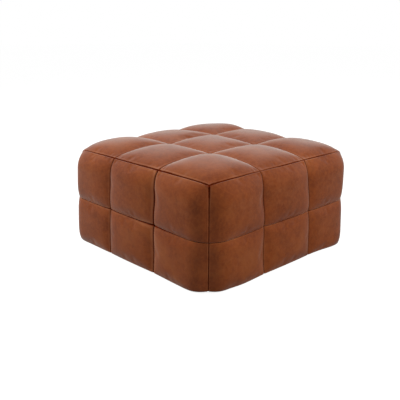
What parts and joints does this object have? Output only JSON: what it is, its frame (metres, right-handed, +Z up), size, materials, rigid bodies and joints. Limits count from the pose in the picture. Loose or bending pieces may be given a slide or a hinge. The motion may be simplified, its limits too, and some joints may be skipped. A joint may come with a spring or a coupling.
{
  "type": "tufted leather pouf",
  "caption": "Square box-tufted leather pouf: crowned stitched squares over fibre pads and foam on a webbed timber frame, standing on low hidden glides.",
  "frame": {"origin": "on the floor, under the middle of the pouf", "axes": "+Z up, +X to the right and +Y to the back, seen from the front"},
  "size_m": [0.84, 0.84, 0.4],
  "materials": {
    "cover_leather": "pull-up hide, waxed satin, paler where it is stretched",
    "strip_leather": "same hide, turned under the frame",
    "tab_leather": "undyed scrap",
    "fibre": "white polyester fibre",
    "foam": "open-cell upholstery foam",
    "hessian": "plain-woven jute",
    "webbing": "twilled jute webbing",
    "plywood": "unfinished plywood",
    "timber": "planed softwood, unfinished",
    "twine": "waxed flax twine",
    "dust_cloth": "black non-woven cloth",
    "nylon": "dark brown moulded nylon"
  },
  "bodies": {
    "root": {"back_board": "plywood", "back_bottom_rail": "timber", "back_foam": "foam", "back_left_post": "timber", "back_pads": "fibre", "back_pull_strip": "strip_leather", "back_right_post": "timber", "back_squares": "cover_leather", "back_top_rail": "timber", "bottom_stretcher": "timber", "crosswise_strap_1": "webbing", "crosswise_strap_2": "webbing", "crosswise_strap_3": "webbing", "crosswise_strap_4": "webbing", "crosswise_strap_5": "webbing", "dust_cover": "dust_cloth", "front_board": "plywood", "front_bottom_rail": "timber", "front_foam": "foam", "front_left_post": "timber", "front_pads": "fibre", "front_pull_strip": "strip_leather", "front_right_post": "timber", "front_squares": "cover_leather", "front_top_rail": "timber", "glides": "nylon", "hessian": "hessian", "left_board": "plywood", "left_bottom_rail": "timber", "left_foam": "foam", "left_pads": "fibre", "left_pull_strip": "strip_leather", "left_squares": "cover_leather", "left_top_rail": "timber", "lengthwise_strap_1": "webbing", "lengthwise_strap_2": "webbing", "lengthwise_strap_3": "webbing", "lengthwise_strap_4": "webbing", "lengthwise_strap_5": "webbing", "right_board": "plywood", "right_bottom_rail": "timber", "right_foam": "foam", "right_pads": "fibre", "right_pull_strip": "strip_leather", "right_squares": "cover_leather", "right_top_rail": "timber", "top_foam": "foam", "top_pads": "fibre", "top_square_back_left": "cover_leather", "top_square_back_middle": "cover_leather", "top_square_back_right": "cover_leather", "top_square_centre_left": "cover_leather", "top_square_centre_middle": "cover_leather", "top_square_centre_right": "cover_leather", "top_square_front_left": "cover_leather", "top_square_front_middle": "cover_leather", "top_square_front_right": "cover_leather", "tufting_tabs": "tab_leather", "tufting_twines": "twine"}
  },
  "joints": []
}
